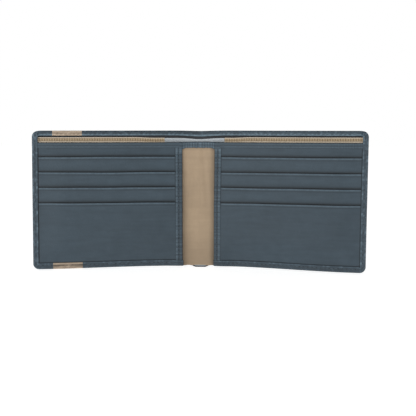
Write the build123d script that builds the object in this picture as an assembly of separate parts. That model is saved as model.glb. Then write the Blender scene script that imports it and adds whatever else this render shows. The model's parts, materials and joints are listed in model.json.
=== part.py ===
from build123d import *
import os
from math import cos, radians

os.makedirs("parts", exist_ok=True)

# Folding leather wallet (a two-fold billfold) standing open on its bottom edge, in mm.
# X runs along the open wallet, +Y points out of its back, +Z is up.

# Driving dimensions
HEIGHT = 95.0            # bottom edge to top edge
HALF_LENGTH = 115.0      # middle of the spine to the end of one half, along the leather
HINGE_X = 7.8            # middle of the spine to each fold line
OPEN_ANGLE = 9.0         # how far each half stands forward of flat, degrees
SPLIT = 2.4              # fold line to the end of the pieces that bend over the spine
CORNER = 4.0             # outer corner radius
BORDER = 4.5             # width of the shell's turned-over edge
STRIPE_START = 13.7      # end of the left half to the contrast stripe
STRIPE_WIDTH = 20.1
CARD_DEPTH = 47.0        # how deep a card goes into its slot
PANEL_STARTS = {"left": 4.8, "right": 2.7}   # fold line to each card panel's inner edge
PANEL_BINDING = 4.8      # width of the strip along that edge
PANEL_INSET = 0.5        # that edge to the layers inside the strip

# Heights of the top edges
BILL_HEM = 3.4           # height of the hem folded down inside the shell's top edge
DIVIDER_TOP = 90.7
WALL_TOP = 87.2          # top of the inner wall and of the card panels
BINDING_LOW = 83.3       # lower edge of the binding folded over the wall and panels
SLOT_TOPS = (77.6, 67.0, 56.7, 46.1)   # three card slots, then the front pocket
TRIM_STARTS = {"left": 17.0, "right": 9.5}   # fold line to the ribbon on the divider
TRIM_HEIGHT = 8.0
STRIP_OVERLAP = 8.0      # how far a slot's strip reaches down behind the next one
NYLON_DROP = 1.5         # top of a strip down to the top of its nylon pocket

# Thicknesses and gaps through one half, from its back
SHELL = 1.0
LINING = 0.3
BILL_GAP = 0.5
DIVIDER = 0.3
WALL = 0.4
SLIP_GAP = 0.4
BASE = 0.5
NYLON = 0.2
STRIP = 0.5
TRIM = 0.2
BINDING = 0.3
HEM = 0.8
THREAD = 0.35
THREAD_PROUD = 0.15

# Places of the stitch rows
BORDER_ROW = 1.2         # in from the inner edge of the turned border
BORDER_ROW_DROP = 3.0    # top edge to the top of the upright row
HEM_ROW_DROP = 2.6       # top edge to the hem's row
BINDING_ROW_RISE = 1.0   # lower edge of the top binding to its row
EDGE_ROW = 3.4           # inner edge of the card panel to the row along it
EDGE_ROW_GAP = 0.5       # that row stops short at both ends
FOLD_GAP = 1.0           # the border's row stops short of the bending pieces

# Depths (back, front) of each layer, measured forward from the middle of the shell
REACH = HALF_LENGTH - HINGE_X
SHELL_AT = (-SHELL / 2, SHELL / 2)
LINING_AT = (SHELL_AT[1], SHELL_AT[1] + LINING)
DIVIDER_AT = (LINING_AT[1] + BILL_GAP, LINING_AT[1] + BILL_GAP + DIVIDER)
WALL_AT = (DIVIDER_AT[1] + BILL_GAP, DIVIDER_AT[1] + BILL_GAP + WALL)
BASE_AT = (WALL_AT[1] + SLIP_GAP, WALL_AT[1] + SLIP_GAP + BASE)
SLOT_PITCH = NYLON + STRIP
STACK_FRONT = BASE_AT[1] + len(SLOT_TOPS) * SLOT_PITCH
LIP_AT = (STACK_FRONT, STACK_FRONT + SHELL)
HEM_AT = (SHELL_AT[1], SHELL_AT[1] + HEM)

STACK_END = REACH - SHELL                # outer ends of the inner layers, inside the turned edge
OPEN_TOP = HEIGHT + 20.0                 # above the whole wallet
EVERY_DEPTH = (-20.0, 20.0)              # behind and in front of the whole wallet
PAST = 1.0                               # a cutting body passes what it cuts by this


def area(start, end, low, high):
    """Rectangle of one flat half: distances from the fold line, then heights."""
    centre = Pos(HINGE_X + (start + end) / 2, (low + high) / 2)
    return centre * Rectangle(end - start, high - low)


def rounded(start, end, low, high, radius):
    """The same rectangle with its two outer corners rounded."""
    face = area(start, end, low, high)
    return fillet(face.vertices().group_by(Axis.X)[-1], radius)


def layer(face, depths):
    """A flat layer between two depths."""
    back, front = depths
    return extrude(Plane.XZ.offset(back) * face, front - back)


OUTLINE = rounded(SPLIT, REACH, 0, HEIGHT, CORNER)
MOUTH = area(SPLIT, REACH - BORDER, HEIGHT / 2, OPEN_TOP)
INSIDE = rounded(SPLIT, STACK_END, SHELL, HEIGHT - SHELL, CORNER - SHELL) + MOUTH


def inner_layer(start, low, high, depths):
    """A layer that reaches under the turned edge and stands on the shell's fold."""
    return layer(area(start, STACK_END, low, high) & INSIDE, depths)


def shell_half():
    """Outer leather, turned over the bottom and the outer end, hemmed along the top."""
    window = area(SPLIT, REACH - BORDER, BORDER, OPEN_TOP)
    body = layer(OUTLINE, (SHELL_AT[0], LIP_AT[1]))
    body -= layer(INSIDE, (SHELL_AT[1], LIP_AT[0]))
    body -= layer(window, LIP_AT)
    hem = area(SPLIT, REACH, HEIGHT - BILL_HEM, HEIGHT) & OUTLINE
    return body + layer(hem, HEM_AT)


def cut_between(body, start, end):
    """The part of a half between two distances from its fold line."""
    return body & layer(area(start, end, -PAST, OPEN_TOP), EVERY_DEPTH)


def wrap(start, end, low, top, inner, walls):
    """A strip folded over the top edge of what lies between the inner depths."""
    back, front = inner
    outer = layer(area(start, end, low, top), (back - walls, front + walls))
    return outer - layer(area(start - PAST, end + PAST, low - PAST, top - walls), inner)


def edge_binding(start):
    """Strip folded round the card panel's inner edge, over the ends of the slots."""
    low, high = BORDER, BINDING_LOW
    end = start + PANEL_BINDING
    outer = layer(area(start, end, low, high), (BASE_AT[0] - BINDING, STACK_FRONT + BINDING))
    return outer - layer(area(start + PANEL_INSET, end, low, high), (BASE_AT[0], STACK_FRONT))


def slot_layers(side, start):
    """Leather strips that step down the panel, each with its nylon pocket behind it."""
    pieces = {}
    for number, top in enumerate(SLOT_TOPS, start=1):
        back = BASE_AT[1] + (number - 1) * SLOT_PITCH
        last = number == len(SLOT_TOPS)
        low = SHELL if last else SLOT_TOPS[number] - STRIP_OVERLAP
        name = f"front_pocket_{side}" if last else f"card_slot_{number}_{side}"
        pieces[name] = inner_layer(start, low, top, (back + NYLON, back + SLOT_PITCH))
        floor = max(top - CARD_DEPTH, SHELL)
        pieces[f"slot_lining_{number}_{side}"] = inner_layer(
            start, floor, top - NYLON_DROP, (back, back + NYLON))
    return pieces


def border_thread():
    """Row of stitching along the turned edge, up the end and along the bottom."""
    line = REACH - BORDER + BORDER_ROW
    height = BORDER - BORDER_ROW
    upright = area(line, line + THREAD, height - THREAD, HEIGHT - BORDER_ROW_DROP)
    foot = area(SPLIT + FOLD_GAP, line + THREAD, height - THREAD, height)
    return layer(upright + foot, (LIP_AT[1], LIP_AT[1] + THREAD_PROUD))


def level_thread(start, end, height, depth):
    return layer(area(start, end, height, height + THREAD), (depth, depth + THREAD_PROUD))


def half_pieces(side):
    """Every piece of one half but its shell, flat, as if on the right."""
    panel = (WALL_AT[0], BASE_AT[1])
    wrapped_top = WALL_TOP - BINDING
    panel_start = PANEL_STARTS[side]
    stack_start = panel_start + PANEL_INSET
    pieces = slot_layers(side, stack_start)
    pieces[f"lining_{side}"] = inner_layer(SPLIT, SHELL, HEIGHT - BILL_HEM, LINING_AT)
    pieces[f"divider_{side}"] = inner_layer(SPLIT, SHELL, DIVIDER_TOP - TRIM, DIVIDER_AT)
    pieces[f"divider_trim_{side}"] = wrap(
        TRIM_STARTS[side], STACK_END, DIVIDER_TOP - TRIM_HEIGHT, DIVIDER_TOP, DIVIDER_AT, TRIM)
    pieces[f"inner_wall_{side}"] = inner_layer(SPLIT, SHELL, wrapped_top, WALL_AT)
    pieces[f"card_base_{side}"] = inner_layer(stack_start, SHELL, wrapped_top, BASE_AT)
    pieces[f"top_binding_{side}"] = wrap(
        SPLIT, STACK_END, BINDING_LOW, WALL_TOP, panel, BINDING)
    pieces[f"edge_binding_{side}"] = edge_binding(panel_start)
    pieces[f"border_thread_{side}"] = border_thread()
    pieces[f"hem_thread_{side}"] = level_thread(
        SPLIT, REACH - BORDER, HEIGHT - HEM_ROW_DROP, HEM_AT[1])
    pieces[f"top_binding_thread_{side}"] = level_thread(
        SPLIT, REACH - BORDER, BINDING_LOW + BINDING_ROW_RISE, panel[1] + BINDING)
    line = panel_start + EDGE_ROW
    upright = area(line, line + THREAD, BORDER + EDGE_ROW_GAP, BINDING_LOW - EDGE_ROW_GAP)
    front = STACK_FRONT + BINDING
    pieces[f"edge_thread_{side}"] = layer(upright, (front, front + THREAD_PROUD))
    return pieces


def left_shell_pieces():
    """Shell of the left half: main leather, contrast stripe, end leather."""
    stripe_end = REACH - STRIPE_START
    stripe_start = stripe_end - STRIPE_WIDTH
    body = shell_half()
    return {
        "shell_left": cut_between(body, SPLIT - PAST, stripe_start),
        "shell_stripe": cut_between(body, stripe_start, stripe_end),
        "shell_end": cut_between(body, stripe_end, REACH + PAST),
    }


# Seen from above, each half leans forward about its fold line
LEAN = Rot(0, 0, -OPEN_ANGLE)


def leaned_point(along, depth):
    """Plan position of a point of the right half, given past its fold line."""
    spot = Pos(HINGE_X, 0) * LEAN * Pos(along, -depth)
    return spot.position.X, spot.position.Y


def fold_point(depth):
    """Plan position of the crease that a layer has at the right fold line."""
    half_lean = OPEN_ANGLE / 2
    spot = Pos(HINGE_X, 0) * Rot(0, 0, -half_lean) * Pos(0, -depth / cos(radians(half_lean)))
    return spot.position.X, spot.position.Y


# The origin is in the middle of the wallet's box, so the fold lines lie behind it
HINGE_Y = (-leaned_point(REACH, LIP_AT[1])[1] + SHELL_AT[0]) / 2


def spine_layer(low, high, depths):
    """A sheet over both fold lines, from one half to the other."""
    back, front = depths
    right = [fold_point(back), leaned_point(SPLIT, back), leaned_point(SPLIT, front), fold_point(front)]
    left = [(-x, y) for x, y in reversed(right)]
    outline = make_face(Polyline(*right, *left, close=True))
    return extrude(Pos(0, 0, low) * outline, high - low, dir=(0, 0, 1))


def spine_wrap(low, top, inner, walls):
    back, front = inner
    outer = spine_layer(low, top, (back - walls, front + walls))
    return outer - spine_layer(low - PAST, top - walls, inner)


def spine_pieces():
    """The pieces that bend when the wallet folds."""
    shell = spine_layer(0, HEIGHT, SHELL_AT)
    wall_front = WALL_AT[1] + BINDING
    hem_row = HEIGHT - HEM_ROW_DROP
    binding_row = BINDING_LOW + BINDING_ROW_RISE
    return {
        "shell_spine": shell + spine_layer(HEIGHT - BILL_HEM, HEIGHT, HEM_AT),
        "lining_spine": spine_layer(SHELL, HEIGHT - BILL_HEM, LINING_AT),
        "divider_spine": spine_layer(SHELL, DIVIDER_TOP - TRIM, DIVIDER_AT),
        "inner_wall_spine": spine_layer(SHELL, WALL_TOP - BINDING, WALL_AT),
        "top_binding_spine": spine_wrap(BINDING_LOW, WALL_TOP, WALL_AT, BINDING),
        "hem_thread_spine": spine_layer(
            hem_row, hem_row + THREAD, (HEM_AT[1], HEM_AT[1] + THREAD_PROUD)),
        "top_binding_thread_spine": spine_layer(
            binding_row, binding_row + THREAD, (wall_front, wall_front + THREAD_PROUD)),
    }


def opened(body, side):
    """A flat right-hand piece, leaned forward about its fold line, on its own side."""
    leaned = Pos(HINGE_X, 0) * LEAN * Pos(-HINGE_X, 0) * body
    return leaned if side == "right" else mirror(leaned, about=Plane.YZ)


def all_pieces():
    pieces = spine_pieces()
    for side in ("left", "right"):
        flat = half_pieces(side)
        flat.update(left_shell_pieces() if side == "left" else {"shell_right": shell_half()})
        for name, body in flat.items():
            pieces[name] = opened(body, side)
    return pieces


for name, body in all_pieces().items():
    export_step(Pos(0, HINGE_Y) * body, f"parts/{name}.step")
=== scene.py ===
import json
from math import cos, exp, hypot, pi, radians, sin, sqrt

import bmesh
import bpy
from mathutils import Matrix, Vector, noise


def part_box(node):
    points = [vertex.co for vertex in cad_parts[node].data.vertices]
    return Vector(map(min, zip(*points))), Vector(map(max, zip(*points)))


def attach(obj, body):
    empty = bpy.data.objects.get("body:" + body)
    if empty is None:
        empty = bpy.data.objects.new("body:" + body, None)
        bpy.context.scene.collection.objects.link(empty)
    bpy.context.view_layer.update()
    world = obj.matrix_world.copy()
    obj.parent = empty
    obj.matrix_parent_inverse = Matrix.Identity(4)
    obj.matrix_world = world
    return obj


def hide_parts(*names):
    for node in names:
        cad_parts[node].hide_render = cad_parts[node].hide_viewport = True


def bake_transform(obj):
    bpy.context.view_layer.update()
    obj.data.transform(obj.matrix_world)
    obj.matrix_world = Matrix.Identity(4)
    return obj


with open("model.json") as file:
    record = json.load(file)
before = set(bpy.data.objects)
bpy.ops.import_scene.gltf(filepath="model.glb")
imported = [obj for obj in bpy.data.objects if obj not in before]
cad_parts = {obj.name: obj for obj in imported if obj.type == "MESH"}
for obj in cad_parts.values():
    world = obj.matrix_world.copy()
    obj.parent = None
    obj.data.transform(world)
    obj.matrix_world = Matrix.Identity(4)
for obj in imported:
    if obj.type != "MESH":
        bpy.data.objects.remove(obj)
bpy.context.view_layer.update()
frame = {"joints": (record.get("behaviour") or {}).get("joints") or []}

SIDES = ("left", "right")

# ---------------------------------------------------------------- sizes, mm
# A place in the wallet is (u, d, z): along the leather from the middle of the
# spine, forward from the middle of the shell, and up.
MM = 0.001


def top_of(node):
    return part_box(node)[1][2] / MM


FOLD_JOINT = next(joint for joint in frame["joints"] if joint["name"] == "fold_right")
FOLD = FOLD_JOINT["pos_m"][0] / MM
FOLD_Y = FOLD_JOINT["pos_m"][1] / MM
OPEN_ANGLE = radians(-FOLD_JOINT["range_deg"][0])
BEND = 3.8                       # the soft pieces bend this far each side of a fold line

# The shell
HEIGHT = top_of("shell_right")
END = 115.0                      # outer end of a half
FLARE = {"left": (0.75, 0.25), "right": (-0.55, 0.1)}   # ends stand out, at the bottom and top
CORNER = 4.0                     # radius of the outer corners
SHELL = 1.0                      # thickness
BORDER = 4.5                     # width of the turned edge along the bottom
END_BORDERS = {"left": 3.95, "right": 3.75}             # up the ends
SPINE_HEM = 3.0                  # and under the spine
LIFT = 1.6                       # the lower edges stand this far off the table at the fold
LIFT_SETTLED = 0.35              # and this much less past it
HEM = 3.4                        # width of the hem along the top
HEM_FRONT = 1.3                  # and the depth of its front
STRIPE_END = END - 13.7
STRIPE_START = STRIPE_END - 20.1

# The note compartment
STACK_END = END - SHELL          # outer end of the card panels
LAYER_END = STACK_END - 1        # outer end of the layers behind them
LINING_TOP = HEIGHT - HEM + 0.3
DIVIDER_TOP = top_of("divider_trim_right")
DIVIDER_DIP = 1.25               # how far the divider's top sinks at the spine
SLUMP = 0.45                     # and how far it and its ribbon sink beside the spine
SLUMP_ENDS = {"left": 46.0, "right": 36.0}              # out to here
SLUMP_RUN = 14.0                 # length over which they rise again
TRIM_STARTS = {"left": 24.8, "right": 17.3}             # inner ends of the divider's ribbon
TRIM_HEIGHT = 8.0
WALL_TOP = top_of("top_binding_right")
BINDING_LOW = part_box("top_binding_right")[0][2] / MM

# The card panels
PANEL_STARTS = {"left": 12.6, "right": 10.5}            # inner edge
PANEL_BINDING = 4.8              # width of the binding on that edge
STACK_INSET = 0.5                # how far inside the binding's edge the leather starts
SLOTS = [top_of(f"card_slot_{number}_right") for number in (1, 2, 3)]
SLOTS.append(top_of("front_pocket_right"))
LIP_DROP = {"left": 0.0, "right": 0.3}                  # the strips' turned edges sit this low
STRIP_OVERLAP = 8                # how far each strip goes down behind the next one
CARD_DEPTH = 47.0                # a slot's floor, below its strip's top
NYLON_DROP = 1.5                 # top of a slot's nylon, below its strip's top

# Depths of the layers, back and front
LINING_AT = (0.5, 0.8)
DIVIDER_AT = (1.3, 1.6)
WALL_AT = (2.1, 2.5)
BASE_AT = (2.9, 3.4)
NYLON = 0.2
STRIP = 0.5
RIBBON_WALL = 0.2
BINDING_WALL = 0.3
BINDING_PROUD = 0.35             # a binding stands this far in front of what it wraps
STACK_FRONT = BASE_AT[1] + len(SLOTS) * (NYLON + STRIP)
LIP_PROUD = 0.75                 # the shell's turned edge stands this far in front of the panel
LIP_FRONT = STACK_FRONT + LIP_PROUD

# Stitches
PITCH = 2.9
STITCH = 2.2
THREAD = 0.17                    # radius
BORDER_ROW = 1.7                 # in from the inner edge of the turned border
HEM_ROW = 1.2                    # up from the lower edge of the hem
BINDING_ROW = 1.2                # up from the lower edge of the top binding
EDGE_ROWS = {"left": 2.8, "right": 2.6}                 # from the panel's inner edge

# ---------------------------------------------------------------- tones
# Every vertex has a tone from -1, darkest, painted shade in grooves, crevices, creases and under
# edges, to 1, palest, painted highlights and worn patches.
WALL_SHADE = {"left": 0.12, "right": 0.45}              # painted shade on the spine wall, towards the panels
LIP_SHADOW_LINE = {"left": 1.0, "right": 0.6}                  # painted shadow line beside each end's border
HEM_HIGHLIGHT = {"left": 0.6, "right": 1.0}                 # how strong the painted highlight on the hem is
BEAD_TONES = (-1.0, -1.0, -1.0, -1.0, -1.0, -0.8, -0.3)   # over a strip's top edge, from behind: painted shade of the crevice, dark over the bead's top
# Painted shade over the edge binding's roll, from its front round to its back
EDGE_ROLL_TONES = (0.0, -0.3, -0.7, -0.9, -0.8, -0.5, -0.2)

# The shell's turned edge: inner part, stitch groove, outer part, outer roll. The tones are painted
# light and shade: darker in the groove and along the bottom, as shade; lighter on the tan hem, as
# highlights; near black on the sliver under the spine, as shade.
BORDER_BANDS = (0.05, -0.42, -0.12, -0.05)
FOOT_BANDS = (-0.02, -0.5, -0.3, -0.25)
TAN_FOOT_BANDS = (0.1, -0.8, -0.35, -0.15)
TAN_HEM_BANDS = (0.9, -0.1, 0.45, 1.0)
SLIVER_BANDS = (-0.95, -0.95, -0.95, -0.9)

# Down a strip's face: (proud, below the top, tone); a painted highlight just under the edge, then
# painted shade in the crease
STRIP_FACE = ((0.10, 0.55, 0.4), (0.08, 1.2, 0.35), (-0.05, 1.75, -0.3), (-0.03, 2.1, -0.25),
              (0.0, 2.9, 0.0))

# Down the front of a folded strip: (share of its height, proud, tone); the light bands are painted
# highlights, the dark ones painted shade
RIBBON_BANDS = ((0.0, 0.0, 1.0), (0.03, 0.02, 0.7), (0.07, 0.0, -0.05), (0.28, 0.0, -0.05),
                (0.33, 0.02, 0.8), (0.47, 0.02, 0.9), (0.55, 0.0, 0.0), (1.0, 0.0, 0.0))
BINDING_BANDS = ((0.0, 0.0, -0.35), (0.12, 0.04, 0.12), (0.24, 0.05, 0.22), (0.40, 0.0, -0.12),
                 (0.52, -0.06, -0.2), (0.66, 0.02, 0.15), (0.84, 0.02, 0.18),
                 (0.95, 0.0, -0.15), (1.0, -0.08, -0.6))


# ---------------------------------------------------------------- where things lie
def ease(value, low, high):
    """Smooth step from 0 at low to 1 at high."""
    t = min(max((value - low) / (high - low), 0.0), 1.0)
    return t * t * (3 - 2 * t)


def bell(u, width):
    """1 in the middle of the spine, fading over the width."""
    return exp(-(u / width) ** 2)


def lean(u):
    """How far the leather has turned from the spine's plane at u, at rest."""
    return OPEN_ANGLE * min(max((u - FOLD + BEND) / (2 * BEND), 0.0), 1.0)


def centre_line(u):
    """Plan position of the shell's middle, forward of the fold lines' plane."""
    radius = 2 * BEND / OPEN_ANGLE
    start = FOLD - BEND
    arc = lean(u) * radius
    x = min(u, start) + radius * sin(arc / radius)
    forward = radius * (1 - cos(arc / radius))
    straight = max(u - FOLD - BEND, 0.0)
    return x + straight * cos(OPEN_ANGLE), forward + straight * sin(OPEN_ANGLE)


def pinch(u, z):
    """The layers are sewn close together at the end and bottom, and loose between."""
    from_end = 1 - ease(END - u, 3.0, 22.0)
    from_bottom = (1 - ease(z, 3.0, 20.0)) * ease(u, 14.0, 26.0)
    return 1 - 0.30 * max(from_end, from_bottom)


def sag(side, u, z):
    """Slow unevenness of soft leather, the same for all the layers at one place."""
    seed = 3.7 if side == "left" else 21.4
    slow = noise.noise(Vector((u / 42 + seed, z / 36, seed)))
    quick = noise.noise(Vector((u / 15 + seed, z / 13, seed + 5)))
    free = ease(u, 12.0, 34.0)
    bow = 0.9 * sin(pi * ease(u, 16.0, END))
    return free * (0.8 * slow + 0.16 * quick) + bow


def lift(u, z):
    """Near the spine the halves' lower edges stand a little off the table."""
    edge = LIFT * ease(u, 3.0, 7.8) - LIFT_SETTLED * ease(u, 8.0, 12.0)
    return edge * (1 - ease(u, 30.0, 112.0)) * (1 - ease(z, 0.0, 45.0))


def stack_front(z):
    """Front of the card panel at a height: each strip whose top is above adds to it."""
    blur = 1.8
    steps = sum(ease(-z, -top - blur, -top + blur) for top in SLOTS)
    return BASE_AT[1] + steps * (NYLON + STRIP)


def place(side, u, d, z):
    """Row coordinates, in metres, of a place in the wallet."""
    angle = lean(u)
    x, forward = centre_line(u)
    low, high = FLARE[side]
    x += (low + (high - low) * z / HEIGHT) * u / END
    depth = (d * pinch(u, z) if d > 0 else d) + sag(side, u, z)
    x -= depth * sin(angle)
    forward += depth * cos(angle)
    sign = -1 if side == "left" else 1
    return Vector((sign * x, FOLD_Y - forward, z + lift(u, z))) * MM


def spans(start, end, step):
    """Even places from start to end, no further apart than step."""
    count = max(1, int((end - start) / step + 0.999))
    return [start + (end - start) * i / count for i in range(count + 1)]


def along(start, end, step=2.4):
    """Places along the leather: close together over the fold, wider past it."""
    bend_end = FOLD + BEND + 4
    if start >= bend_end:
        return spans(start, end, step)
    return spans(start, bend_end, 0.8)[:-1] + spans(bend_end, end, step)


def panel_places(side):
    """Places along a card panel, close together where the bindings cross it."""
    inner = PANEL_STARTS[side] + PANEL_BINDING
    outer = END - END_BORDERS[side]
    near = [PANEL_STARTS[side] + STACK_INSET]
    near += [inner + step for step in (-0.2, 0.35, 0.9, 1.6)]
    far = [outer + step for step in (-2.0, -0.7, -0.5, 0.1, 1.2)]
    return near + spans(inner + 3.0, outer - 4.0, 2.4) + far + [STACK_END - 0.3]


def panel_shade(side, u, z):
    """Painted shadow lines where the edge binding and the shell's turned edge lie on the panel."""
    inner = PANEL_STARTS[side] + PANEL_BINDING
    outer = END - END_BORDERS[side]
    beside = (1 - min(abs(u - inner) / 0.7, 1.0)) * (0.7 if z > SLOTS[-1] - 1 else 0.1)
    end = ease(u, outer - 0.7, outer - 0.5)
    low = 1 - ease(z, BORDER + 0.1, BORDER + 0.7)
    return -max(LIP_SHADOW_LINE[side] * end, 0.8 * low, beside)


# ---------------------------------------------------------------- mesh tools
def add_mesh(name, vertices, faces, material, tones=None, sharp=48.0):
    """A closed smooth mesh; edges that turn more than sharp degrees stay sharp."""
    mesh = bpy.data.meshes.new(name)
    mesh.from_pydata(vertices, [], faces)
    build = bmesh.new()
    build.from_mesh(mesh)
    bmesh.ops.recalc_face_normals(build, faces=build.faces)
    build.to_mesh(mesh)
    build.free()
    mesh.shade_smooth()
    mesh.set_sharp_from_angle(angle=radians(sharp))
    attribute = mesh.attributes.new("tone", "FLOAT", "POINT")
    attribute.data.foreach_set("value", tones or [0.0] * len(vertices))
    mesh.materials.append(material)
    piece = bpy.data.objects.new(name, mesh)
    bpy.context.collection.objects.link(piece)
    return piece


def tube_faces(rows, around, first=0):
    """Quads over rows of points that each close on themselves, with both ends capped."""
    faces = []
    for row in range(rows - 1):
        for i in range(around):
            j = (i + 1) % around
            a = first + row * around
            faces.append((a + i, a + j, a + around + j, a + around + i))
    faces.append(tuple(first + i for i in range(around)))
    faces.append(tuple(first + (rows - 1) * around + i for i in range(around)))
    return faces


def sweep(name, side, places, profile, material):
    """A piece whose section, a loop of (d, z, tone) given by profile(u), runs along u."""
    vertices, tones = [], []
    around = 0
    for u in places:
        loop = profile(u)
        around = len(loop)
        for d, z, tone in loop:
            vertices.append(place(side, u, d, z))
            tones.append(tone)
    return add_mesh(name, vertices, tube_faces(len(places), around), material, tones)


def join(name, pieces):
    """One piece made of several."""
    build = bmesh.new()
    for piece in pieces:
        build.from_mesh(piece.data)
    mesh = pieces[0].data
    build.to_mesh(mesh)
    build.free()
    for piece in pieces[1:]:
        bpy.data.objects.remove(piece)
    pieces[0].name = name
    mesh.name = name
    return pieces[0]


# ---------------------------------------------------------------- sections
# Heights of points beside the line where the next strip's edge lies on a face
LINE_STEPS = (-1.5, -0.5, 0.15, 0.7, 1.4, 2.3, 3.4)
# and beside the inner edge of the border, on the lowest strip
BORDER_STEPS = (-0.4, 0.25, 0.6, 0.95, 2.0)


def foot(u):
    """Lowest place of an inner layer, clear of the shell's rounded lower corner."""
    radius = CORNER - SHELL
    past = max(u - (STACK_END - radius), 0.0)
    return SHELL + radius - sqrt(max(radius * radius - past * past, 0.0))


def flat_section(back, front, low, high, top_tone=0.0):
    """A plain thin layer; high may be a function of u, and the top can be darker or lighter."""
    def section(u):
        base = max(low, foot(u))
        top = high(u) if callable(high) else high
        steps = len(spans(low, top, 3.0 if top - low > 8 else 1.2))
        levels = [base + (top - 2.4 - base) * i / steps for i in range(steps + 1)]
        tones = [0.0] * len(levels)
        levels += [top - 1.2, top - 0.5, top]
        tones += [top_tone / 2, top_tone, top_tone]
        pairs = list(zip(levels, tones))
        return ([(back, z, tone) for z, tone in pairs]
                + [(front, z, tone) for z, tone in reversed(pairs)])
    return section


def faced_levels(base, high, line):
    """Heights up a leather face; line is where the next strip's edge lies on it, if one does."""
    if line is None:
        return [base] + [BORDER + step for step in BORDER_STEPS] + spans(BORDER + 5.0, high, 3.0)
    near = [line + step for step in LINE_STEPS]
    return spans(base, line - 3.0, 3.0) + near + spans(line + 4.0, high, 3.0)


def line_shade(z, line):
    """Painted shade above the edge that lies on the face."""
    if line is None or z < line - 0.8:
        return 0.0
    return -max(0.0, 1.0 - max(z - line - 0.1, 0.0) / 2.9) ** 2.3


def ripple(side, u, number):
    """A strip's top edge isn't quite straight, and hangs a little low."""
    seed = number * 7.3 + (2.0 if side == "left" else 40.0)
    return 0.28 * noise.noise(Vector((u / 26, seed, 0.0))) - LIP_DROP[side]


def base_section(side):
    """The panel's leather base, with the first strip's edge lying on it."""
    back, front = BASE_AT

    def section(u):
        line = SLOTS[0] + ripple(side, u, 1)
        base = max(SHELL, foot(u))
        levels = [base] + [line + step for step in LINE_STEPS] + [WALL_TOP - 0.3]
        faced = [(front, z, min(line_shade(z, line), panel_shade(side, u, z))) for z in levels]
        return [(back, z, 0.0) for z in levels] + faced[::-1]
    return section


def strip_section(side, number, back, front, low, high):
    """A leather strip with a turned top edge: a thin bead, a crease line, then its face."""
    radius = (front - back) / 2 + 0.04
    start = PANEL_STARTS[side] + STACK_INSET
    last = number == len(SLOTS)
    face_tone = -0.07 if last else 0.03
    open_depth = 9                # below this the gape has closed
    back_points = 8

    def section(u):
        top = high + ripple(side, u, number)
        base = max(low, foot(u))
        line = None if last else SLOTS[number] + ripple(side, u, number + 1)
        # the edge stands a little open between the sewn ends
        gape = 0.42 * ease(u, start + 3, start + 18) * ease(STACK_END - u, 5.0, 22.0)
        middle = (back + front) / 2 + gape
        loop = [(back, base + (top - 6.0 - base) * i / (back_points - 1), 0.0)
                for i in range(back_points)]
        # painted shade inside the gape, behind the bead
        loop.append((back + 0.6 * gape, top - 2.6, -0.9))
        for step, tone in enumerate(BEAD_TONES):
            turn = pi * step / 6
            z = top - radius + radius * sin(turn)
            loop.append((middle - radius * cos(turn), z, tone))
        top_shade = panel_shade(side, u, top)
        for proud, down, tone in STRIP_FACE:
            share = 1 - down / open_depth
            if top_shade < -0.3:
                tone = min(tone, top_shade)
            loop.append((front + share * gape + proud, top - down, tone))
        for z in reversed(faced_levels(base, top - 5.0, line)):
            share = max(0.0, 1 - (top - z) / open_depth)
            tone = min(line_shade(z, line), panel_shade(side, u, z))
            loop.append((front + share * gape, z, tone + face_tone))
        return loop
    return section


WRAP_BACK_POINTS = 9             # points of a wrap_section before the first of its bands


def wrap_section(back, front, low, high, wall, bands):
    """A strip folded over a top edge; low and high are functions of u."""
    middle = (back + front) / 2
    radius = (front - back) / 2
    shoulder = radius * 0.7

    def section(u):
        top, bottom = high(u), low(u)
        loop = [(back + wall, bottom, 0.0), (back, bottom, 0.0), (back, bottom + 1.0, 0.0),
                (back, top - shoulder, 0.0)]
        for step in range(1, 6):
            turn = pi * step / 6
            z = top - shoulder * (1 - sin(turn))
            loop.append((middle - radius * cos(turn), z, bands[0][2]))
        length = top - bottom
        for share, proud, tone in bands:
            loop.append((front + proud, top - shoulder - share * (length - shoulder), tone))
        # the inside of the fold is painted darker at its lower edge, as shade
        return loop + [(front - wall, bottom, -0.6), (front - wall, top - wall, 0.0),
                       (back + wall, top - wall, 0.0)]
    return section


# ---------------------------------------------------------------- the shell
def rim_loop(front, width, round_off, bands):
    """Section of the shell's turned edge: (n, d, tone), n measured outward from the edge."""
    back = -SHELL / 2
    thick = min(SHELL, (front - back) / 2)
    lower = front - thick
    middle, reach = (front + back) / 2, (front - back) / 2
    bulge = min(1.3, (front - back) / 2) * round_off
    inner, groove, face, roll = bands
    dip = -width + BORDER_ROW
    # the inner wall, facing the panel, is painted darker, as shade
    loop = [(-width, lower, -0.4), (-width, front - 0.3, -0.55),
            (-width + 0.10, front - 0.06, inner), (-width + 0.4, front, inner),
            (dip - 0.7, front - 0.02, inner), (dip - 0.3, front - 0.12, groove),
            (dip + 0.3, front - 0.12, groove), (dip + 0.7, front, face)]
    for share in (0.35, 0.7):
        loop.append((dip + 0.7 + share * (-dip - 0.7 - bulge * 0.9), front + 0.05, face))
    behind = min(max(roll, -0.2), 0.1)
    for step in range(9):
        turn = pi / 2 - pi * step / 8
        tone = roll if step < 5 else behind
        loop.append((bulge * (cos(turn) - 1) * 0.9, middle + reach * sin(turn), tone))
    loop += [(-2.6, back, behind), (-4.6, back + 0.012, 0.0), (-6.0, back + 0.08, 0.0)]
    return loop + [(-6.0, 0.45, 0.0), (-1.15, 0.45, 0.0), (-1.15, max(lower, 0.46), 0.0)]


def mixed(first, second, share):
    """Tones between the first and the second."""
    return tuple(a + (b - a) * share for a, b in zip(first, second))


def worn(bands, where, side, amount=1.5):
    """The same tones with small pale worn flecks, different at each place along the edge."""
    seed = 30.0 if side == "left" else 60.0
    flecks = [max(0.0, noise.noise(Vector((where / 1.5, seed + 9.3 * i, 2.4))))
              for i in range(len(bands))]
    return tuple(tone + amount * fleck for tone, fleck in zip(bands, flecks))


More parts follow.
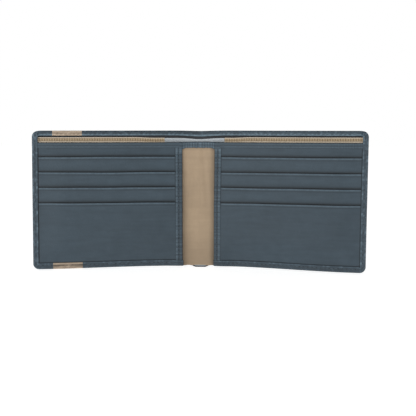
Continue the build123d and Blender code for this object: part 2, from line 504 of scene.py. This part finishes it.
def rim(name, side, path, material):
    """The turned edge along path: u, z, outward direction, front, width, roundness, tones."""
    vertices, tones = [], []
    around = 0
    for u, z, out_u, out_z, front, width, round_off, bands in path:
        loop = rim_loop(front, width, round_off, bands)
        around = len(loop)
        for n, d, tone in loop:
            vertices.append(place(side, u + n * out_u, d, z + n * out_z))
            tones.append(tone)
    return add_mesh(name, vertices, tube_faces(len(path), around), material, tones)


def bottom_path(side, start, end, tan=False):
    """Turned edge along the bottom: low under the spine, over the panels on the halves."""
    path = []
    for u in along(start, end, 1.2):
        over = ease(u, PANEL_STARTS[side] - 0.9, PANEL_STARTS[side] - 0.1)
        front = HEM_FRONT + (LIP_FRONT - HEM_FRONT) * over
        width = SPINE_HEM + (BORDER - SPINE_HEM) * over
        bands = TAN_FOOT_BANDS if tan else mixed(SLIVER_BANDS, FOOT_BANDS, over)
        bands = worn(bands, u, side, 0.8 * over)
        path.append((u, 0.0, 0.0, -1.0, front, width, 0.35 + 0.65 * over, bands))
    return path


def top_path(side, start, end, tan=False):
    """Hem along the top, slack over the spine, rising to the border's front at the end."""
    path = []
    light = HEM_HIGHLIGHT[side]
    # painted highlight on the hem's lower part and painted shade on its upper part
    hem_bands = (light + 0.35, 0.6 * light - 0.6, 0.7 * light - 0.95, 0.35 * light - 0.4)
    if tan:
        hem_bands = TAN_HEM_BANDS
    border = END - END_BORDERS[side]
    for u in along(start, end, 1.2):
        over = ease(u, border - 1.6, border + 0.4)
        front = HEM_FRONT + (stack_front(HEIGHT) + LIP_PROUD - HEM_FRONT) * over
        slack = bell(u, 10)
        width = HEM + (END_BORDERS[side] - HEM) * over + 0.45 * slack
        pleat = 0.25 * noise.noise(Vector((u * 0.7, 3.0, 9.0)))
        bands = mixed(hem_bands, BORDER_BANDS, over)
        bands = worn([band + pleat for band in bands], u, side, 1.0)
        top = HEIGHT + 0.2 * (1 - over) - 0.3 * slack
        path.append((u, top, 0.0, 1.0, front, width, 1.0, bands))
    return path


def end_path(side):
    """Turned edge from the lower corner up the end to the upper corner."""
    path = []
    border = END_BORDERS[side]
    turns = [pi / 2 * step / 8 for step in range(1, 8)]
    for turn in turns:
        share = sin(turn)
        width = BORDER + (border - BORDER) * share
        bands = worn(mixed(FOOT_BANDS, BORDER_BANDS, share), 8 * turn, side)
        u, z = END - CORNER * (1 - sin(turn)), CORNER * (1 - cos(turn))
        path.append((u, z, sin(turn), -cos(turn), LIP_FRONT, width, 1.0, bands))
    for z in spans(CORNER, HEIGHT - CORNER, 1.0):
        bands = worn(BORDER_BANDS, z, side)
        path.append((END, z, 1.0, 0.0, stack_front(z) + LIP_PROUD, border, 1.0, bands))
    for turn in turns:
        u, z = END - CORNER * (1 - cos(turn)), HEIGHT - CORNER * (1 - sin(turn))
        bands = worn(BORDER_BANDS, HEIGHT + 8 * turn, side, 2.4)
        front = stack_front(z) + LIP_PROUD
        path.append((u, z, cos(turn), sin(turn), front, border, 1.0, bands))
    return path


def back_plate(name, side, start, end, material):
    """The shell's back between its turned edges."""
    inset = 2.8
    outer = min(end, END - inset)
    back, front = -SHELL / 2, SHELL / 2 - 0.1
    levels = spans(inset, HEIGHT - inset, 3.0)
    loop = [(back, z, 0.0) for z in levels] + [(front, z, 0.0) for z in reversed(levels)]
    return sweep(name, side, along(start, outer), lambda u: loop, material)


def shell_piece(name, side, start, end, material):
    """One length of shell leather; the one at the outer end has the rounded corners."""
    tan = material is TAN
    if end >= END:
        path = bottom_path(side, start, END - CORNER) + end_path(side)
        path += top_path(side, start, END - CORNER)[::-1]
        parts = [rim(name, side, path, material)]
    else:
        parts = [rim(name, side, bottom_path(side, start, end, tan), material),
                 rim(f"{name}_hem", side, top_path(side, start, end, tan), material)]
    parts.append(back_plate(f"{name}_back", side, start, end, material))
    return join(name, parts)


# ---------------------------------------------------------------- stitching
def stitch_points(points):
    """Even stitches along a line of (u, d, z): five points on each."""
    lengths = [0.0]
    for a, b in zip(points, points[1:]):
        lengths.append(lengths[-1] + hypot(b[0] - a[0], b[1] - a[1], b[2] - a[2]))

    def at(distance):
        for (a, b), (s, e) in zip(zip(points, points[1:]), zip(lengths, lengths[1:])):
            if distance <= e:
                t = (distance - s) / (e - s)
                return tuple(x + (y - x) * t for x, y in zip(a, b))
        return points[-1]

    count = int((lengths[-1] - STITCH) / PITCH)
    spare = (lengths[-1] - count * PITCH) / 2
    return [[at(spare + i * PITCH + STITCH * t) for t in (0, 0.15, 0.5, 0.85, 1)]
            for i in range(count)]


def thread(name, side, lines, material):
    """Rows of stitches, each a short round length of thread that dips in at both ends.

    Each line is its points and which way it faces: 1 to the inside, -1 out of the back."""
    vertices, faces = [], []
    rises = (-0.16, 0.03, 0.10, 0.03, -0.16)
    girths = (0.55, 0.9, 1.0, 0.9, 0.55)
    around = 6
    for line, facing in lines:
        for stitch in stitch_points(line):
            first = len(vertices)
            a, b = stitch[0], stitch[-1]
            run = hypot(b[0] - a[0], b[2] - a[2])
            tilt_u, tilt_z = (b[0] - a[0]) / run, (b[2] - a[2]) / run
            for (u, d, z), rise, girth in zip(stitch, rises, girths):
                for i in range(around):
                    turn = 2 * pi * i / around
                    across = THREAD * girth * cos(turn)
                    raised = d + facing * (rise + THREAD * girth * 0.8 * sin(turn))
                    vertices.append(place(side, u - tilt_z * across, raised,
                                          z + tilt_u * across))
            faces += tube_faces(len(stitch), around, first)
    return add_mesh(name, vertices, faces, material, sharp=80.0)


# ---------------------------------------------------------------- materials
# Sockets of a colour Mix node
MIX_FACTOR, MIX_FIRST, MIX_SECOND, MIX_RESULT = 0, 6, 7, 2


def grey(level):
    return (level, level, level)


def new_material(name):
    material = bpy.data.materials.new(name)
    material.use_nodes = True
    nodes = material.node_tree.nodes
    return material, nodes, material.node_tree.links, nodes["Principled BSDF"]


def texture(nodes, links, kind, scale, stretch=(1, 1, 1), **sockets):
    """A texture node in the piece's own metres; scale counts features in a metre."""
    coordinates = nodes.new("ShaderNodeTexCoord")
    mapping = nodes.new("ShaderNodeMapping")
    mapping.inputs["Scale"].default_value = stretch
    links.new(coordinates.outputs["Object"], mapping.inputs["Vector"])
    node = nodes.new(f"ShaderNodeTex{kind}")
    node.inputs["Scale"].default_value = scale
    for socket, value in sockets.items():
        node.inputs[socket].default_value = value
    links.new(mapping.outputs["Vector"], node.inputs["Vector"])
    return node


def ramp(nodes, links, source, stops):
    """A colour ramp with the given (position, colour) stops."""
    node = nodes.new("ShaderNodeValToRGB")
    elements = node.color_ramp.elements
    while len(elements) < len(stops):
        elements.new(0.5)
    for element, (position, colour) in zip(elements, stops):
        element.position = position
        element.color = (*colour, 1)
    links.new(source, node.inputs["Fac"])
    return node.outputs["Color"]


def mix(nodes, links, blend, factor, first, second):
    """Mix two colours; factor is a number or a socket."""
    node = nodes.new("ShaderNodeMix")
    node.data_type = "RGBA"
    node.blend_type = blend
    if isinstance(factor, float):
        node.inputs[MIX_FACTOR].default_value = factor
    else:
        links.new(factor, node.inputs[MIX_FACTOR])
    for socket, value in ((MIX_FIRST, first), (MIX_SECOND, second)):
        if isinstance(value, tuple):
            node.inputs[socket].default_value = (*value, 1)
        else:
            links.new(value, node.inputs[socket])
    return node.outputs[MIX_RESULT]


def tone_mask(nodes, links, full):
    """How far the tone has gone from 0 towards full, -1 or 1."""
    attribute = nodes.new("ShaderNodeAttribute")
    attribute.attribute_name = "tone"
    node = nodes.new("ShaderNodeMapRange")
    node.inputs["From Min"].default_value = 0.0
    node.inputs["From Max"].default_value = full
    links.new(attribute.outputs["Fac"], node.inputs["Value"])
    return node.outputs["Result"]


def bump(nodes, links, shader, heights):
    """Chain of bumps: (socket, strength, distance in metres)."""
    last = None
    for height, strength, distance in heights:
        node = nodes.new("ShaderNodeBump")
        node.inputs["Strength"].default_value = strength
        node.inputs["Distance"].default_value = distance
        links.new(height, node.inputs["Height"])
        if last:
            links.new(last, node.inputs["Normal"])
        last = node.outputs["Normal"]
    links.new(last, shader.inputs["Normal"])


def leather(name, deep, base, pale, roughness, highlight_and_rubbed, grain=1.0):
    """Fine-grained leather: pebbles, slow mottling, streaks, painted shade where the tone is below
    0, and painted highlights with worn patches where it is above.
    """
    material, nodes, links, shader = new_material(name)
    pebbles = texture(nodes, links, "Voronoi", 1150)
    pebbles.feature = "SMOOTH_F1"
    fine = texture(nodes, links, "Noise", 2600, Detail=3.0)
    mottle = texture(nodes, links, "Noise", 140, Detail=6.0, Roughness=0.65)
    slow = texture(nodes, links, "Noise", 28, Detail=2.0)
    flecks = texture(nodes, links, "Noise", 430, Detail=2.0)
    streaks = texture(nodes, links, "Noise", 420, stretch=(0.14, 0.14, 1), Detail=3.0)
    colour = ramp(nodes, links, mottle.outputs["Fac"], [(0.32, deep), (0.5, base), (0.72, pale)])
    colour = mix(nodes, links, "MIX", 0.35, colour, base)
    shaded = ramp(nodes, links, slow.outputs["Fac"], [(0.35, grey(0.94)), (0.65, grey(1.05))])
    colour = mix(nodes, links, "MULTIPLY", 1.0, colour, shaded)
    streaked = ramp(nodes, links, streaks.outputs["Fac"], [(0.35, grey(0.92)), (0.65, grey(1.07))])
    colour = mix(nodes, links, "MULTIPLY", 0.8 * grain, colour, streaked)
    # negative tones turn the colour to painted shade
    painted_shade_colour = tuple(0.15 * c for c in deep)
    colour = mix(nodes, links, "MIX", tone_mask(nodes, links, -1.0), colour, painted_shade_colour)
    # positive tones turn it, in flecks, to the pale colour: painted highlights and worn patches
    patches = ramp(nodes, links, flecks.outputs["Fac"], [(0.38, grey(0.55)), (0.62, grey(1.0))])
    highlight_and_wear = mix(nodes, links, "MULTIPLY", 1.0, tone_mask(nodes, links, 1.0), patches)
    colour = mix(nodes, links, "MIX", highlight_and_wear, colour, highlight_and_rubbed)
    links.new(colour, shader.inputs["Base Color"])
    sheen = nodes.new("ShaderNodeMapRange")
    sheen.inputs["To Min"].default_value = roughness - 0.07
    sheen.inputs["To Max"].default_value = roughness + 0.09
    links.new(mottle.outputs["Fac"], sheen.inputs["Value"])
    links.new(sheen.outputs["Result"], shader.inputs["Roughness"])
    shader.inputs["Specular IOR Level"].default_value = 0.4
    bump(nodes, links, shader, [(pebbles.outputs["Distance"], 0.32 * grain, 0.00016),
                                (fine.outputs["Fac"], 0.16 * grain, 0.00008),
                                (mottle.outputs["Fac"], 0.25 * grain, 0.00025)])
    return material


def weave(name, deep, pale, threads, slant, roughness, sheen, edge):
    """Woven cloth: crossing threads, threads to the metre, with uneven colour; painted shade where
    the tone is below 0, and the edge colour, a painted highlight, where it is above.
    """
    material, nodes, links, shader = new_material(name)
    warp = texture(nodes, links, "Wave", threads, stretch=(1, 0.3, slant))
    warp.bands_direction = "X"
    weft = texture(nodes, links, "Wave", threads)
    weft.bands_direction = "Z"
    uneven = texture(nodes, links, "Noise", 700, Detail=4.0)
    crossed = mix(nodes, links, "MULTIPLY", 0.7, warp.outputs["Color"], weft.outputs["Color"])
    crossed = mix(nodes, links, "MIX", 0.45, crossed, uneven.outputs["Color"])
    colour = ramp(nodes, links, crossed, [(0.12, deep), (0.62, pale)])
    # negative tones turn the colour to painted shade, positive ones to the edge colour, a painted
    # highlight
    painted_shade_colour = tuple(0.2 * c for c in deep)
    colour = mix(nodes, links, "MIX", tone_mask(nodes, links, -1.0), colour, painted_shade_colour)
    colour = mix(nodes, links, "MIX", tone_mask(nodes, links, 1.0), colour, edge)
    links.new(colour, shader.inputs["Base Color"])
    shader.inputs["Roughness"].default_value = roughness
    shader.inputs["Sheen Weight"].default_value = sheen
    bump(nodes, links, shader, [(warp.outputs["Fac"], 0.5, 0.0002),
                                (weft.outputs["Fac"], 0.35, 0.00015)])
    return material


def thread_material(name, deep, pale):
    """Twisted thread."""
    material, nodes, links, shader = new_material(name)
    twist = texture(nodes, links, "Wave", 1300, Distortion=1.5)
    twist.bands_direction = "DIAGONAL"
    colour = ramp(nodes, links, twist.outputs["Fac"], [(0.2, deep), (0.8, pale)])
    links.new(colour, shader.inputs["Base Color"])
    shader.inputs["Roughness"].default_value = 0.55
    bump(nodes, links, shader, [(twist.outputs["Fac"], 0.4, 0.00012)])
    return material


# The leathers' pale colours serve both painted highlights and worn patches; the cloths' edge
# colours are painted highlights.
NAVY = leather("navy_leather", (0.030, 0.050, 0.067), (0.036, 0.058, 0.077),
               (0.044, 0.067, 0.087), roughness=0.52, highlight_and_rubbed=(0.130, 0.190, 0.235))
TAN = leather("tan_leather", (0.24, 0.185, 0.130), (0.29, 0.225, 0.165),
              (0.34, 0.275, 0.205), roughness=0.55, highlight_and_rubbed=(0.50, 0.40, 0.30))
SPINE_TAN = leather("tan_lining", (0.355, 0.263, 0.173), (0.39, 0.288, 0.188),
                    (0.42, 0.313, 0.206), roughness=0.6, highlight_and_rubbed=(0.56, 0.47, 0.37), grain=0.45)
RIBBON = weave("tan_ribbon", (0.16, 0.11, 0.065), (0.42, 0.32, 0.195), threads=185,
               slant=0.3, roughness=0.75, sheen=0.2, edge=(0.60, 0.51, 0.40))
NYLON_CLOTH = weave("grey_nylon", (0.27, 0.29, 0.305), (0.44, 0.485, 0.515), threads=900,
                    slant=0.2, roughness=0.5, sheen=0.15, edge=(0.62, 0.66, 0.69))
LINING_CLOTH = weave("dark_lining", (0.020, 0.024, 0.03), (0.045, 0.052, 0.06), threads=900,
                     slant=0.2, roughness=0.6, sheen=0.1, edge=(0.1, 0.11, 0.12))
THREADS = thread_material("blue_thread", (0.035, 0.055, 0.075), (0.075, 0.11, 0.14))
BROWN_THREADS = thread_material("brown_thread", (0.10, 0.075, 0.05), (0.19, 0.145, 0.10))


# ---------------------------------------------------------------- making the pieces
def stands_for(piece, slot, *nodes):
    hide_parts(*nodes)


def across_fold(piece, side, slot, *nodes):
    """A piece from the middle of the spine to one half, shaped over the fold line: its transform
    is baked in, and the parts it stands for are hidden.
    """
    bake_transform(piece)
    stands_for(piece, slot, *nodes)


def on_half(piece, side, slot, *nodes):
    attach(piece, f"{side}_half")
    stands_for(piece, slot, *nodes)


def make_shell():
    across_fold(shell_piece("shell_leather_right", "right", 0.0, END, NAVY),
                "right", "navy_leather", "shell_right", "shell_spine")
    across_fold(shell_piece("shell_leather_left", "left", 0.0, STRIPE_START, NAVY),
                "left", "navy_leather", "shell_left", "shell_spine")
    on_half(shell_piece("shell_stripe_leather", "left", STRIPE_START, STRIPE_END, TAN),
            "left", "tan_leather", "shell_stripe")
    on_half(shell_piece("shell_end_leather", "left", STRIPE_END, END, NAVY),
            "left", "navy_leather", "shell_end")


def make_note_compartment(side):
    """Lining, divider and the ribbon over the divider's top."""
    places = along(0.0, LAYER_END)
    # the lining's top is painted dark, as shade in the compartment's mouth
    lining = sweep(f"note_lining_{side}", side, places,
                   flat_section(*LINING_AT, SHELL, LINING_TOP, top_tone=-1.0), LINING_CLOTH)
    across_fold(lining, side, "nylon", f"lining_{side}", "lining_spine")

    def trim_top(u):
        return DIVIDER_TOP - SLUMP * (1 - ease(u, SLUMP_ENDS[side] - SLUMP_RUN, SLUMP_ENDS[side]))

    def trim_low(u):
        return trim_top(u) - TRIM_HEIGHT

    def divider_top(u):
        return trim_top(u) - RIBBON_WALL - (DIVIDER_DIP - SLUMP) * bell(u, 9)
    # the divider's top is painted lighter, as a highlight
    divider = sweep(f"note_divider_{side}", side, places,
                    flat_section(*DIVIDER_AT, SHELL, divider_top, top_tone=0.5), NYLON_CLOTH)
    across_fold(divider, side, "nylon", f"divider_{side}", "divider_spine")
    section = wrap_section(DIVIDER_AT[0] - RIBBON_WALL, DIVIDER_AT[1] + RIBBON_WALL,
                           trim_low, trim_top, RIBBON_WALL, RIBBON_BANDS)
    trim = sweep(f"divider_ribbon_{side}", side, along(TRIM_STARTS[side], LAYER_END),
                 section, RIBBON)
    on_half(trim, side, "tan_ribbon", f"divider_trim_{side}")


def make_spine_wall(side):
    """The tan wall: flat, with soft upright wrinkles where it folds over the spine."""
    start = PANEL_STARTS[side]
    seed, wrinkles = (5.0, 0.30) if side == "right" else (12.0, 0.12)
    levels = spans(3.0, BINDING_LOW - 2.4, 3.0)
    levels += [BINDING_LOW - 1.2, BINDING_LOW - 0.4, BINDING_LOW, WALL_TOP - 0.3]

    def section(u):
        near = 1 - ease(u, start - 1.5, start + 0.5)
        # painted shade on the wall, cast by the card panels' edges, growing towards them
        panel_shadow = WALL_SHADE[side] * ease(u, start - 5.2, start) ** 1.3
        loop = []
        # the lower edge stays level where the shell's edge lifts
        edge = max(1.75 - 0.45 * ease(u, 3.0, 6.5) - lift(u, 1.0),
                   SHELL * ease(u, STACK_END - 8, STACK_END - 2))
        upward = [edge, edge + 0.35] + levels
        for depth, order, share in ((WALL_AT[0], upward, 0.5), (WALL_AT[1], upward[::-1], 1)):
            for z in order:
                fold = noise.noise(Vector((u / 2.6 + z / 30, z / 30, seed)))
                amount = (0.10 + wrinkles * ease(z, 30.0, WALL_TOP)) * near
                # darker towards the bottom, and painted shade just under the top binding
                tone = 0.0 if z == edge else -0.2 * (1 - ease(z, 4.0, 30.0))
                tone -= 0.3 * ease(z, BINDING_LOW - 2.2, BINDING_LOW)
                loop.append((depth + amount * fold * share, z, tone - panel_shadow))
        return loop
    wall = sweep(f"spine_wall_{side}", side, along(0.0, LAYER_END), section, SPINE_TAN)
    across_fold(wall, side, "tan_lining", f"inner_wall_{side}", "inner_wall_spine")


def make_top_binding(side):
    """Folded strip along the top: pleated over the spine, and over the panel on the half."""
    start = PANEL_STARTS[side]

    def low(u):
        corner = ease(u, start - 2.6, start - 0.1) * (1 - ease(u, 14.0, 15.5))
        ragged = 0.25 * noise.noise(Vector((u / 1.7, 6.0, 2.0))) * bell(u, 10)
        return BINDING_LOW + ragged - 0.9 * corner

    def high(u):
        return WALL_TOP + 0.35 * bell(u, 12)
    back = WALL_AT[0] - BINDING_WALL
    thin, thick = (wrap_section(back, front + BINDING_PROUD, low, high, BINDING_WALL,
                                BINDING_BANDS) for front in (WALL_AT[1], BASE_AT[1]))

    def section(u):
        over = ease(u, start - 1.0, start + 0.6)
        creases = 0.5 * ease(u, 84.0, 98.0) if side == "right" else 0.0
        wander = 1.5 * noise.noise(Vector((u / 4, 1.0, 8.0)))
        pleat = sin(2 * pi * u / 1.9 + wander) * max(1 - over, creases)
        loop = []
        for number, (a, b) in enumerate(zip(thin(u), thick(u))):
            depth, tone = a[0] + (b[0] - a[0]) * over, a[2]
            if WRAP_BACK_POINTS <= number < WRAP_BACK_POINTS + len(BINDING_BANDS):
                depth += 0.09 * pleat
                # painted light and shade on the pleats, and 0.25 lighter over the spine
                tone += 0.25 * pleat + 0.25 * (1 - over)
            loop.append((depth, a[1], tone))
        return loop
    places = spans(0.0, 15.0, 0.4)[:-1] + spans(15.0, LAYER_END, 0.8)
    binding = sweep(f"top_binding_leather_{side}", side, places, section, NAVY)
    across_fold(binding, side, "navy_leather", f"top_binding_{side}", "top_binding_spine")


def make_card_panel(side):
    """The leather base, then each strip with its nylon behind it, from the back forward."""
    places = panel_places(side)
    base = sweep(f"panel_base_{side}", side, places, base_section(side), NAVY)
    on_half(base, side, "navy_leather", f"card_base_{side}")
    for number, top in enumerate(SLOTS, start=1):
        back = BASE_AT[1] + (number - 1) * (NYLON + STRIP)
        last = number == len(SLOTS)
        low = SHELL if last else SLOTS[number] - STRIP_OVERLAP
        section = strip_section(side, number, back + NYLON, back + NYLON + STRIP, low, top)
        name = "front_pocket" if last else f"card_slot_{number}"
        strip = sweep(f"{name}_leather_{side}", side, places, section, NAVY)
        on_half(strip, side, "navy_leather", f"{name}_{side}")
        bottom = max(top - CARD_DEPTH, SHELL)
        lining = sweep(f"slot_nylon_{number}_{side}", side,
                       places[0:1] + spans(places[3], places[-1], 4.0),
                       flat_section(back, back + NYLON, bottom, top - NYLON_DROP), LINING_CLOTH)
        on_half(lining, side, "nylon", f"slot_lining_{number}_{side}")


def make_edge_binding(side):
    """Strip folded round the panel's inner edge, over the ends of the slots."""
    start = PANEL_STARTS[side]
    end, row = start + PANEL_BINDING, start + EDGE_ROWS[side]
    back = BASE_AT[0] - BINDING_WALL
    seed = 11.0 if side == "left" else 17.0

    def section(front):
        middle, reach = (back + front) / 2, (front - back) / 2
        # painted light and shade: a highlight along the edge on the panel, shade in the stitch
        # groove
        loop = [(end, front - 0.35, -0.3), (end, front - 0.14, 0.1),
                (end - 0.35, front - 0.03, 0.25),
                (row + 0.75, front, 0.2), (row + 0.32, front - 0.1, -0.5),
                (row - 0.32, front - 0.1, -0.5), (row - 0.8, front + 0.02, 0.05),
                (start + 1.5, front + 0.04, 0.0)]
        for step, tone in enumerate(EDGE_ROLL_TONES):
            turn = pi / 2 - pi * step / 6
            loop.append((start + 0.7 * (1 - cos(turn)), middle + reach * sin(turn), tone))
        return loop + [(start + 2.4, back, 0.0), (end, back, 0.0), (end, back + 0.25, 0.0),
                       (start + 0.5, back + 0.3, 0.0), (start + 0.5, front - 0.35, 0.0)]
    vertices, tones = [], []
    levels = spans(BORDER - 0.6, BINDING_LOW + 0.1, 0.6)
    for z in levels:
        pucker = noise.noise(Vector((z / 1.1, 4.0, seed)))
        paler_towards_top = ease(z, BINDING_LOW - 9, BINDING_LOW - 1)
        front = stack_front(z) + BINDING_PROUD
        loop = section(front)
        for u, d, tone in loop:
            swell = 0.07 * pucker if d > (back + front) / 2 else 0.0
            vertices.append(place(side, u, d + swell, z))
            # painted light and shade on the puckers, and paler towards the top
            tones.append(tone + 0.7 * pucker + 0.35 * paler_towards_top)
    strip = add_mesh(f"edge_binding_leather_{side}", vertices,
                     tube_faces(len(levels), len(loop)), NAVY, tones)
    on_half(strip, side, "navy_leather", f"edge_binding_{side}")


def level_rows(lengths, faces):
    """Rows along u, each length of them on each face: (depth, height, facing)."""
    return [([(u, depth, height) for u in spans(start, end, 4.0)], facing)
            for start, end in lengths for depth, height, facing in faces]


def make_stitching(side):
    """Border, hem, top binding and edge binding; the rows on the stripe are brown."""
    start, spine = PANEL_STARTS[side], 0.4
    line, low = END - END_BORDERS[side] + BORDER_ROW, BORDER - BORDER_ROW
    hem_height, hem_end = HEIGHT - HEM + HEM_ROW, END - END_BORDERS[side] - 2
    back = -SHELL / 2 + 0.1
    border_faces = [(LIP_FRONT - 0.1, low, 1), (back, low, -1)]
    hem_faces = [(HEM_FRONT - 0.05, hem_height, 1), (back, hem_height, -1)]
    border_lengths, hem_lengths = [(start + 1, line)], [(spine, hem_end)]
    if side == "left":
        border_lengths = [(start + 1, STRIPE_START), (STRIPE_END, line)]
        hem_lengths = [(spine, STRIPE_START), (STRIPE_END, hem_end)]
        brown = level_rows([(STRIPE_START, STRIPE_END)], border_faces + hem_faces)
        on_half(thread("stripe_stitches", side, brown, BROWN_THREADS), side, "thread",
                "border_thread_left", "hem_thread_left")
    rows = level_rows(border_lengths, border_faces)
    heights = spans(low, HEIGHT - 5, 2.0)
    rows.append(([(line, stack_front(z) + LIP_PROUD - 0.1, z) for z in heights], 1))
    rows.append(([(line, back, z) for z in heights], -1))
    border = thread(f"border_stitches_{side}", side, rows, THREADS)
    on_half(border, side, "thread", f"border_thread_{side}")
    hem = thread(f"hem_stitches_{side}", side, level_rows(hem_lengths, hem_faces), THREADS)
    across_fold(hem, side, "thread", f"hem_thread_{side}", "hem_thread_spine")
    height = BINDING_LOW + BINDING_ROW
    rows = level_rows([(spine, start - 1.2)], [(WALL_AT[1] + 0.3, height, 1)])
    rows += level_rows([(start + 0.8, END - BORDER)], [(BASE_AT[1] + 0.3, height, 1)])
    top = thread(f"top_binding_stitches_{side}", side, rows, THREADS)
    across_fold(top, side, "thread", f"top_binding_thread_{side}", "top_binding_thread_spine")
    edge_line = start + EDGE_ROWS[side]
    row = [(edge_line, stack_front(z) + 0.28, z) for z in spans(BORDER, BINDING_LOW - 0.3, 2.0)]
    edge = thread(f"edge_stitches_{side}", side, [(row, 1)], THREADS)
    on_half(edge, side, "thread", f"edge_thread_{side}")


make_shell()
for each_side in SIDES:
    make_note_compartment(each_side)
    make_spine_wall(each_side)
    make_top_binding(each_side)
    make_card_panel(each_side)
    make_edge_binding(each_side)
    make_stitching(each_side)


# ---------------------------------------------------------------- studio
def make_floor():
    """A pale floor that glows a little, so that it reads as white paper."""
    size = 3.0
    corners = [(-size, -size, 0), (size, -size, 0), (size, size, 0), (-size, size, 0)]
    mesh = bpy.data.meshes.new("floor")
    mesh.from_pydata(corners, [], [(0, 1, 2, 3)])
    floor = bpy.data.objects.new("floor", mesh)
    bpy.context.collection.objects.link(floor)
    material, _, _, shader = new_material("floor_white")
    shader.inputs["Base Color"].default_value = (0.6, 0.6, 0.6, 1)
    shader.inputs["Roughness"].default_value = 0.9
    shader.inputs["Emission Color"].default_value = (1, 1, 1, 1)
    shader.inputs["Emission Strength"].default_value = 0.79
    mesh.materials.append(material)


def aim(thing, target):
    thing.rotation_euler = (Vector(target) - thing.location).to_track_quat("-Z", "Y").to_euler()


def softbox(name, location, size, power, target):
    light = bpy.data.lights.new(name, "AREA")
    light.shape = "RECTANGLE"
    light.size, light.size_y = size
    light.energy = power
    lamp = bpy.data.objects.new(name, light)
    lamp.location = location
    aim(lamp, target)
    bpy.context.collection.objects.link(lamp)


def make_world(level, overhead):
    """White all round and darker overhead, like a room of white screens."""
    world = bpy.data.worlds.new("studio")
    world.use_nodes = True
    nodes, links = world.node_tree.nodes, world.node_tree.links
    coordinates = nodes.new("ShaderNodeTexCoord")
    split = nodes.new("ShaderNodeSeparateXYZ")
    links.new(coordinates.outputs["Generated"], split.inputs["Vector"])
    stops = [(0.25, grey(level)), (0.75, grey(overhead))]
    shade = ramp(nodes, links, split.outputs["Z"], stops)
    links.new(shade, nodes["Background"].inputs["Color"])
    nodes["Background"].inputs["Strength"].default_value = 1.0
    bpy.context.scene.world = world


def make_camera():
    """Slightly above, turned a little to the left half, as fitted to the photograph."""
    distance, pitch, yaw = 0.627, radians(5.5), radians(-4.2)
    target = Vector((0.0053, FOLD_Y * MM, 0.0414))
    sensor, focal_px, image_px = 36.0, 900, 416
    forward = Vector((sin(yaw) * cos(pitch), cos(yaw) * cos(pitch), -sin(pitch)))
    camera = bpy.data.cameras.new("camera")
    camera.sensor_width = sensor
    camera.lens = sensor * focal_px / image_px
    holder = bpy.data.objects.new("camera", camera)
    holder.location = target - forward * distance
    aim(holder, target)
    bpy.context.collection.objects.link(holder)
    bpy.context.scene.camera = holder


make_floor()
make_world(level=1.0, overhead=0.25)
softbox("front_left", location=(-0.7, -1.0, 0.30), size=(0.9, 0.7), power=3.4, target=(0, 0, 0.05))
make_camera()
bpy.context.scene.view_settings.view_transform = "Standard"
